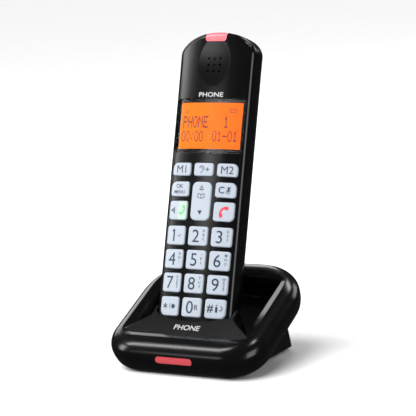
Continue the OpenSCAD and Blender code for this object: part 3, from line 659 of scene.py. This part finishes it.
dark_print = printing("dark_print", (0.018, 0.028, 0.055), (0.03, 0.042, 0.075))
green_print = printing("green_print", (0.14, 0.42, 0.2), (0.17, 0.46, 0.23))
pale_green_print = printing("pale_green_print", (0.38, 0.52, 0.42), (0.42, 0.56, 0.46))
red_print = printing("red_print", (0.62, 0.03, 0.06), (0.7, 0.05, 0.08))
key_paints = [key_finish_painted_glow, dark_print, green_print, pale_green_print, red_print]
tip_y = 5.45
letters = {"2": "ABC", "3": "DEF", "4": "GHI", "5": "JKL", "6": "MNO", "7": "PQRS", "8": "TUV", "9": "WXYZ"}


def arc(x, z, r, start, end, wide, steps=6, tall=1.0):
    """A bent printed line about a point, between two angles in degrees."""
    points = [(x + r * cos(radians(start + (end - start) * k / steps)),
               z + r * tall * sin(radians(start + (end - start) * k / steps))) for k in range(steps + 1)]
    return gather(*[stroke(*a, *b, wide) for a, b in zip(points, points[1:])])


def receiver(x, z, turn, size):
    """A handset sign: a bent grip with two thick ends."""
    bm = gather(arc(0, -size * 0.55, size, 38, 142, size * 0.34, 8),
                stroke(-size * 0.92, -size * 0.25, -size * 0.52, size * 0.16, size * 0.52),
                stroke(size * 0.92, -size * 0.25, size * 0.52, size * 0.16, size * 0.52))
    bmesh.ops.rotate(bm, matrix=Matrix.Rotation(radians(turn), 3, "Y"), verts=bm.verts)
    bmesh.ops.translate(bm, vec=(x, 0, z), verts=bm.verts)
    return bm


def legend(name, x, z, high):
    """What is printed on a key: (mesh, ink) pairs."""
    sign = name.removeprefix("key_")
    if sign.isdigit() and sign != "0" and sign != "1":
        small_print = [lettering(c, x + 3.9, z + 3.1 - k * (7.0 / len(letters[sign])), 1.5, None, 0.006)
                       for k, c in enumerate(letters[sign])]
        return [(lettering(sign, x - 1.1, z, 7.0), 1), (gather(*small_print), 1)]
    if sign == "1":
        return [(stroke(x - 1.2, z - 3.4, x - 1.2, z + 3.4, 0.95), 1),
                (stroke(x - 1.2, z + 3.1, x - 2.3, z + 2.2, 0.8), 1),
                (arc(x + 2.2, z + 0.2, 0.8, 180, 360, 0.35), 1),
                (stroke(x + 3, z + 0.2, x + 3.7, z + 0.2, 0.35), 1)]
    if sign == "0":
        return [(lettering("0", x - 1.0, z, 7.0), 1), (lettering("R", x + 3.2, z, 3.0, None, 0.01), 1)]
    if sign == "star":
        star_x, reach = x - 2.9, 1.7
        petals = [stroke(star_x - reach * cos(a), z - reach * sin(a), star_x + reach * cos(a),
                         z + reach * sin(a), 0.5) for a in (radians(90), radians(30), radians(150))]
        return [(gather(*petals), 1), (painted(rod(x + 2.6, z, 1.25, -0.03, 0.03, 14), 0), 1),
                (arc(x + 1.5, z, 1.5, 110, 250, 0.3), 1)]
    if sign == "hash":
        return [(lettering("#", x - 2.8, z, 4.4, None, 0.02), 1),
                (stroke(x + 0.9, z - 1.9, x + 0.9, z + 1.2, 1.3), 1),
                (stroke(x + 0.9, z + 1.7, x + 0.9, z + 2.3, 0.9), 1),
                (arc(x + 3.1, z + 0.4, 1.2, -90, 90, 0.5), 1),
                (stroke(x + 2.6, z - 0.8, x + 3.2, z - 0.8, 0.5), 1)]
    if sign == "memory_1":
        return [(lettering("M1", x, z, 4.3), 1)]
    if sign == "memory_2":
        return [(lettering("M2", x + 0.2, z, 4.3), 1)]
    if sign == "boost":
        return [(arc(x - 1.0, z + 0.5, 1.5, -40, 170, 0.4), 1),
                (stroke(x - 0.2, z - 0.6, x - 1.6, z - 2.2, 0.4), 1),
                (arc(x - 1.0, z + 0.4, 0.6, -60, 160, 0.3), 1),
                (stroke(x + 1.5, z, x + 3.7, z, 0.45), 1),
                (stroke(x + 2.6, z - 1.1, x + 2.6, z + 1.1, 0.45), 1)]
    if sign == "menu":
        return [(lettering("OK", x - 0.3, z + 1.6, 2.3, None, 0.01), 1),
                (lettering("MENU", x, z - 1.7, 1.9, 7.4, 0.01), 1)]
    if sign == "cancel":
        return [(lettering("C", x - 2.2, z, 3.9, None, 0.015), 1),
                (stroke(x + 1.9, z - 0.6, x + 1.9, z + 1.7, 1.1), 1),
                (arc(x + 1.9, z + 0.2, 1.2, 180, 360, 0.3), 1),
                (stroke(x + 0.9, z - 1.9, x + 3.0, z - 1.9, 0.35), 1),
                (stroke(x + 0.6, z - 1.4, x + 3.3, z + 1.7, 0.35), 1)]
    if sign == "rocker":
        up, down = z + rocker_h / 2 - 3.4, z - rocker_h / 2 + 4.2
        book = [stroke(x - 2.0, up - 3.2, x, up - 3.7, 0.35), stroke(x, up - 3.7, x + 2.0, up - 3.2, 0.35),
                stroke(x - 2.0, up - 5.4, x, up - 5.9, 0.35), stroke(x, up - 5.9, x + 2.0, up - 5.4, 0.35),
                stroke(x - 2.0, up - 3.2, x - 2.0, up - 5.4, 0.35),
                stroke(x + 2.0, up - 3.2, x + 2.0, up - 5.4, 0.35),
                stroke(x, up - 3.7, x, up - 5.9, 0.35)]
        arrows = [stroke(x - 1.2, up - 1.0, x, up + 1.2, 0.4), stroke(x + 1.2, up - 1.0, x, up + 1.2, 0.4),
                  stroke(x - 1.2, up - 1.0, x + 1.2, up - 1.0, 0.5)]
        arrows += [stroke(x - 1.3 * s, down + 1.1 - 0.55 * k, x + 1.3 * s, down + 1.1 - 0.55 * k, 0.58)
                   for k, s in enumerate((1, 0.75, 0.5, 0.25))]
        return [(gather(*book, *arrows), 1)]
    if sign == "talk":
        waves = [stroke(x - 4.2, z - 0.6, x - 4.2, z + 0.6, 0.8),
                 stroke(x - 3.3, z - 1.2, x - 3.3, z + 1.2, 0.5),
                 stroke(x - 2.5, z - 1.9, x - 2.5, z + 1.9, 0.5)]
        ground = plate(x + key_w / 4 - 0.2, z, key_w / 2 - 0.7, high - 1.0, (0.4, 1.2, 0.4, 1.2), -0.03, 0.03)
        return [(gather(*waves), 1), (ground, 3),
                (receiver(x + 2.8, z + 0.2, 118, 3.0), 2)]
    return [(receiver(x + 0.1, z, -52, 3.6), 4)]


for name, (col, row, high, corners) in keys.items():
    x = col * column
    cap = plate(x, row, key_w, high, corners, 0, tip_y - 2, 6)
    front_edges = [e for e in cap.edges if all(v.co.y < 0.01 for v in e.verts)]
    bmesh.ops.bevel(cap, geom=front_edges, offset=0.7, segments=4, profile=0.5, affect="EDGES", material=-1)
    cap = crowned(cap, key_rise)
    # The rocker's flange lies deeper, because its ends tip forward
    flange_gap = 0.8 if name == "key_rocker" else 0.25
    flange = crowned(plate(x, row, key_w + 1.4, high + 1.4, corners, 0, 1.0), -wall - flange_gap)
    signs = []
    for mesh, color in legend(name, x, row, high):
        signs.append(painted(mesh, color))
    signs = gather(*signs)
    for v in signs.verts:
        v.co.y += fallen(v.co.x) - key_rise - (0.0 if v.co.y > 0 else 0.01)
    for face in signs.faces:
        if face.material_index in (2, 4):
            for v in face.verts:
                v.co.y = min(v.co.y, fallen(v.co.x) - key_rise - 0.05)
    plunger = rod(x, row, 1.8, fallen(abs(x)) + 1.5, tip_y)
    whole = gather(cap, flange, plunger, signs)
    finished(whole, name + "_cap", name, [name], key_paints, in_handset)

# ------------------------------------------------------------------ Word on the handset
# A plain word pad-printed on the housing in pale grey, just above the window.
pale_print = printing("pale_print", (0.42, 0.42, 0.43), (0.52, 0.52, 0.53))
mark = lettering("PHONE", 0, display_row + window_h / 2 + 1.9, 2.6, 15.5, 0.012)
for v in mark.verts:
    v.co.y += fallen(v.co.x) - 0.01
finished(mark, "handset_word", "handset", [], [pale_print], in_handset)

# ------------------------------------------------------------------ Ringing light
# Clear red lens in the crest of the handset, with a lamp behind it. It fills a notch in the
# front half and follows the rounded crest over to the joint line.
def glowing_red(name, dark, light, glow):
    """Translucent red acrylic with a weak light behind it."""
    finish = Finish(name)
    rosy = finish.tint(finish.grain(250, 3), dark, light)
    return finish.surface({"Base Color": rosy, "Roughness": 0.18 + 0.12 * finish.grain(900),
                           "Emission Color": rosy, "Emission Strength": glow,
                           "Coat Weight": 0.6, "Coat Roughness": 0.05})


lens_red = glowing_red("lens_red", (0.62, 0.09, 0.11), (0.78, 0.2, 0.22), 0.2)
lens = plate(0, handset_len + 1, lens_w - 0.2, 2 * lens_h + 1.8, (1.5, 1.5, 1, 1), -3, lens_back - 0.1)
lens = worked(lens, "INTERSECT", hollow)
finished(lens, "crest_lens", "handset", ["ring_light_lens"], [lens_red], in_handset)

# ------------------------------------------------------------------ Base, upper moulding
# One glossy black ABS moulding: a tilted bullnosed ring round a deep hollow with a
# chamfered edge, an apron that climbs to the handset, and the tub that its end stands in.
ring_tilt = radians(24.75)
in_ring = (Matrix.Translation((0, -36.6441 * mm, 20.3335 * mm)) @ Matrix.Rotation(ring_tilt, 4, "X")
           @ Matrix.Scale(mm, 4))
from_handset = in_ring.inverted() @ in_handset
ring_half, front_swell, ring_back = 49.4, 12.8, 74.8262
ring_front_r, ring_back_r = 21.9, 31
top_inset, bottom_inset, waist, ring_h, base_wall = 10.8, 5.1, 8.2, 18.4, 2.0
ridge_half, ridge_len, ridge_side, ridge_corner = 42.0, 63.9262, 55.9262, 9.0
base_split = 15.0
bowl_depth = 12.6


def ring_outline(turn, inset, n):
    """Point of the ring's outline: small round corners in front and large ones behind."""
    half, front, back = ring_half - inset, inset - front_swell, ring_back - inset
    if turn <= pi + 0.001:
        r = ring_back_r - inset
        side = 1 if turn <= pi / 2 + 0.001 else -1
        return Vector((side * (half - r) + r * cos(turn), back - r + r * sin(turn), n))
    r = ring_front_r - inset
    side = -1 if turn <= 1.5 * pi + 0.001 else 1
    return Vector((side * (half - r) + r * cos(turn), front + r + r * sin(turn), n))


def ring_solid(skin):
    """The bullnosed ring as a solid, with its skin moved in."""
    loops = []
    for a in range(180, 89, -9):
        a = radians(a)
        loops.append(lambda turn, a=a: ring_outline(
            turn, skin + bottom_inset * (1 - sin(a)), (ring_h - waist - skin) * cos(a) - waist))
    for a in range(81, -1, -9):
        a = radians(a)
        loops.append(lambda turn, a=a: ring_outline(
            turn, skin + top_inset * (1 - sin(a)), (skin - waist) * (1 - cos(a)) - skin))
    return loft(loops, 128)


def ridge_outline(turn, inset, n):
    """Point of the ridge round the hollow: square front corners and a bowed back."""
    half = ridge_half - inset
    if turn <= pi + 0.001:
        return Vector((half * cos(turn), ridge_side + (ridge_len - inset - ridge_side) * sin(turn), n))
    r = ridge_corner - inset
    side = -1 if turn <= 1.5 * pi + 0.001 else 1
    return Vector((side * (half - r) + r * cos(turn), inset + r + r * sin(turn), n))


def bowl_solid(skin):
    """The hollow: a chamfer, a wall that steepens, and a rounded foot. A skin makes it larger."""
    shape = [(0, 9), (0, 0.01), (4.8, -1.35), (5.7, -2.6), (6.5, -4.3), (7.2, -6.4), (7.7, -8.7),
             (8.1, -11.0), (8.8, -12.1), (10.4, -bowl_depth)]
    return loft([lambda turn, e=e, n=n: ridge_outline(turn, e - skin, n - (skin if n < 1 else 0))
                 for e, n in shape], 128)


def pocket_solid(skin, low, high):
    """Prism along the handset, a skin larger than its section."""
    def point(turn, z):
        if turn <= pi + 0.001:
            wide = max(0.0, abs(cos(turn))) ** 0.88 * (1 if cos(turn) >= 0 else -1)
            y = split_t + (handset_t + skin - split_t) * max(0.0, sin(turn))
            return Vector(((half_w + skin) * wide, y, z))
        x = (half_w + skin) * cos(turn)
        over = max(0.0, abs(x) - (half_w + skin - rim))
        y = fallen(min(abs(x), half_w - rim)) - skin + rim - sqrt(max(0.0, rim * rim - over * over))
        return Vector((x, y, z))
    bm = loft([lambda turn: point(turn, low), lambda turn: point(turn, high)], 96)
    bm.transform(from_handset)
    return bm


apron_drop, apron_slope = -1.6, 0.2


def apron_solid():
    """The apron: as wide as the ridge in front and as wide as the handset behind, with a sloping top."""
    bm = bmesh.new()
    bmesh.ops.create_grid(bm, x_segments=1, y_segments=3, size=1)
    steps = [(-3.0, 44.0), (3.0, 44.0), (16.5, 26.5), (24.0, 26.5)]
    for v in bm.verts:
        s, half = steps[round((v.co.y + 1) * 1.5)]
        v.co = Vector((v.co.x * half, s, apron_drop + apron_slope * s))
    bmesh.ops.dissolve_faces(bm, faces=list(bm.faces))
    grown = bmesh.ops.extrude_face_region(bm, geom=list(bm.faces))["geom"]
    low = [g for g in grown if isinstance(g, bmesh.types.BMVert)]
    for v in low:
        v.co.z = -14.5
    upper = [e for e in bm.edges if all(v.co.z > -5 for v in e.verts)]
    bmesh.ops.recalc_face_normals(bm, faces=bm.faces)
    bmesh.ops.bevel(bm, geom=upper, offset=1.2, segments=3, profile=0.5, affect="EDGES", material=-1)
    return bm


bar_n, bar_w, bar_h = -6.2, 23.0, 3.5
tub = worked(pocket_solid(2.6, -2.4, 40), "INTERSECT", block((-60, -40, -60), (60, 90, -bowl_depth + 0.4)))
cavity = worked(ring_solid(base_wall), "DIFFERENCE", bowl_solid(base_wall))
cavity = worked(cavity, "DIFFERENCE", tub)
upper = worked(ring_solid(0), "DIFFERENCE", cavity)
upper = worked(upper, "DIFFERENCE", block((-80, -40, -40), (80, 90, -base_split)))
upper = worked(upper, "UNION", tub)
upper = worked(upper, "DIFFERENCE", bowl_solid(0))
upper = worked(upper, "UNION", worked(apron_solid(), "INTERSECT", bowl_solid(0.05)))
upper = worked(upper, "DIFFERENCE", pocket_solid(0.6, -0.4, 60))
pin_holes = gather(*[rod(side * 9, 0, 1.6, -14, 4, 20) for side in (-1, 1)])
bmesh.ops.rotate(pin_holes, matrix=Matrix.Rotation(pi / 2, 3, "X"), verts=pin_holes.verts)
bmesh.ops.translate(pin_holes, vec=(0, 13.2, 0), verts=pin_holes.verts)
pin_holes.transform(from_handset)
upper = worked(upper, "DIFFERENCE", pin_holes)
bar_slot = plate(0, bar_n, bar_w + 0.5, bar_h + 0.5, (1.9,) * 4, -20, -front_swell + 5, 8)
upper = worked(upper, "DIFFERENCE", bar_slot)
finished(upper, "cradle", "base", ["base_top_shell"], [black_gloss], in_ring, 20)

# ------------------------------------------------------------------ Word on the apron
# A plain word pad-printed in the same pale grey on the apron, in front of the handset.
apron_word = lettering("PHONE", 0, 9.0, 3.4, 16.0, 0.004)
for v in apron_word.verts:
    v.co = Vector((v.co.x, v.co.z, apron_drop + apron_slope * v.co.z - v.co.y + 0.01))
finished(apron_word, "apron_word", "base", [], [pale_print], in_ring)

# ------------------------------------------------------------------ Light bar
# Red translucent bar, pushed into its slot in the front of the ring from inside and flush with it.
bar_red = glowing_red("bar_red", (0.36, 0.035, 0.045), (0.46, 0.06, 0.07), 0.15)
bar = plate(0, bar_n, bar_w, bar_h, (1.7,) * 4, -20, -front_swell + 2.4, 8)
bar = worked(bar, "INTERSECT", ring_solid(0))
finished(bar, "front_bar", "base", ["light_bar"], [bar_red], in_ring)

# ------------------------------------------------------------------ Base, lower tray
# The tray that closes the ring underneath, in the same black ABS, held by four screws. Its rim
# is set in a hair from the upper moulding, which leaves a fine shadow line round the base.
step_in = 0.3
profile = [(bottom_inset * (1 - sin(radians(a))) + step_in, (ring_h - waist) * cos(radians(a)) - waist)
           for a in (180, 170, 160, 150, 140, 132.1)]
inner = profile[-1][0] + base_wall
profile += [(inner, -base_split - 0.04), (inner + 1.0, base_wall - ring_h)]
tray = loft([lambda turn, e=e, n=n: ring_outline(turn, e, n) for e, n in profile], 128)
tray = worked(tray, "DIFFERENCE", pocket_solid(3.0, -2.8, 40))
finished(tray, "lower_tray", "base", ["base_bottom_shell"], [black_gloss], in_ring)

# ------------------------------------------------------------------ Stand
# Hollow wedge foot under the ring, in satin black ABS. Its sloping rear face has openings for the
# two sockets and a round hole for the paging button.
satin_black = moulded("satin_black", (0.0025, 0.0025, 0.0028), (0.005, 0.005, 0.0055), 0.32, 0.1,
                      0.00002, 1500)
stand_half, stand_wall, foot_t = 34.2, 2.0, 1.2
rear_lean = radians(17)
socket_x, foot_x, foot_y, foot_r = 17, 27.2, 21.809, 4.55
button_y, button_z, button_r = 25.08, 13.4, 4.3


def wedge(front_y, low, back_y, peak_y, peak_z, front_z, half, soft):
    """A four-sided prism across the base, with softened edges."""
    bm = bmesh.new()
    bmesh.ops.create_grid(bm, x_segments=1, y_segments=1, size=1)
    places = {(-1, -1): (front_y, low), (1, -1): (back_y, low),
              (1, 1): (peak_y, peak_z), (-1, 1): (front_y, front_z)}
    for v in bm.verts:
        y, z = places[(round(v.co.x), round(v.co.y))]
        v.co = Vector((-half, y, z))
    pushed(bm, (2 * half, 0, 0))
    if soft:
        bmesh.ops.bevel(bm, geom=list(bm.edges), offset=soft, segments=3, profile=0.5, affect="EDGES",
                        material=-1)
    return bm


stand = wedge(-23.197, foot_t, 28.809, 21.026, 26.66, 6.272, stand_half, 1.0)
stand = worked(stand, "DIFFERENCE", wedge(-21.197, 3.2, 26.2, 18.8, 29.0, 9.2, stand_half - stand_wall, 0))
cuts = [block((side * socket_x - 6.6, 1.3, 7.3), (side * socket_x + 6.6, 40, 18.0)) for side in (-1, 1)]
for side in (-1, 1):
    foot_hole = rod(side * foot_x, 0, foot_r, -2.0, 1.0, 32)
    bmesh.ops.rotate(foot_hole, matrix=Matrix.Rotation(pi / 2, 3, "X"), verts=foot_hole.verts)
    bmesh.ops.translate(foot_hole, vec=(0, foot_y, 1.0), verts=foot_hole.verts)
    cuts.append(foot_hole)
button_hole = rod(0, 0, button_r, -6, 6, 32)
bmesh.ops.rotate(button_hole, matrix=Matrix.Rotation(rear_lean, 3, "X"), verts=button_hole.verts)
bmesh.ops.translate(button_hole, vec=(0, button_y, button_z), verts=button_hole.verts)
cuts.append(button_hole)
stand = worked(stand, "DIFFERENCE", gather(*cuts))
finished(stand, "wedge_foot", "base", ["base_stand"], [satin_black])

# ------------------------------------------------------------------ Inner pieces and fittings
# These keep the form that they have in the frame, and only take their own finishes: green fibreglass
# boards, grey silicone mat, sprung steel, gilt pins, shrink-wrapped cells and black rubber feet.
board_green = moulded("board_green", (0.015, 0.09, 0.04), (0.025, 0.13, 0.06), 0.35, 0.15, 0.00003, 700)
grey_rubber = moulded("grey_rubber", (0.2, 0.2, 0.21), (0.26, 0.26, 0.27), 0.6, 0.15, 0.00002, 1800)
foot_rubber = moulded("foot_rubber", (0.012, 0.012, 0.012), (0.025, 0.025, 0.025), 0.75, 0.15, 0.00005, 2500)
black_foam = moulded("black_foam", (0.01, 0.01, 0.01), (0.05, 0.05, 0.05), 0.9, 0.1, 0.0001, 3500)
white_guide = moulded("white_guide", (0.7, 0.7, 0.7), (0.78, 0.78, 0.78), 0.35, 0.1)
cell_wrap = moulded("cell_wrap", (0.03, 0.22, 0.12), (0.04, 0.28, 0.16), 0.25, 0.1, 0.00001, 900, 0.4)
socket_black = moulded("socket_black", (0.006, 0.006, 0.006), (0.012, 0.012, 0.012), 0.45, 0.1, 0.00002, 1500)
button_grey = moulded("button_grey", (0.09, 0.09, 0.1), (0.12, 0.12, 0.13), 0.4, 0.1, 0.00002, 1500)
speaker_grey = moulded("speaker_grey", (0.03, 0.03, 0.03), (0.07, 0.07, 0.07), 0.5, 0.2, 0.00004, 1500)


def metal(name, first, second, roughness):
    """Bare or plated metal with a drawn grain."""
    finish = Finish(name)
    lines = finish.grain(600, 3, (1, 1, 12))
    return finish.surface({"Base Color": finish.tint(lines, first, second), "Metallic": 1.0,
                           "Roughness": roughness + 0.12 * lines})


steel = metal("steel", (0.55, 0.55, 0.57), (0.68, 0.68, 0.7), 0.22)
gilt = metal("gilt", (0.75, 0.5, 0.18), (0.85, 0.6, 0.25), 0.18)
paints = {
    board_green: ["handset_circuit_board", "light_board", "base_circuit_board", "pin_carrier"],
    grey_rubber: ["keypad_mat"], foot_rubber: ["base_feet"], black_foam: ["earpiece_gasket"],
    white_guide: ["lcd_backlight", "ring_light_led"], cell_wrap: ["battery_cell_left", "battery_cell_right"],
    socket_black: ["line_socket", "power_socket"], button_grey: ["page_button"],
    speaker_grey: ["earpiece_speaker", "loudspeaker"], gilt: ["charge_pin_left", "charge_pin_right"],
    steel: ["dome_switches", "microphone", "battery_contacts", "charge_contacts", "handset_screws",
            "pin_springs", "base_screws"],
}
for paint, names in paints.items():
    for name in names:
        for slot in frame["nodes"][name].material_slots:
            slot.material = paint
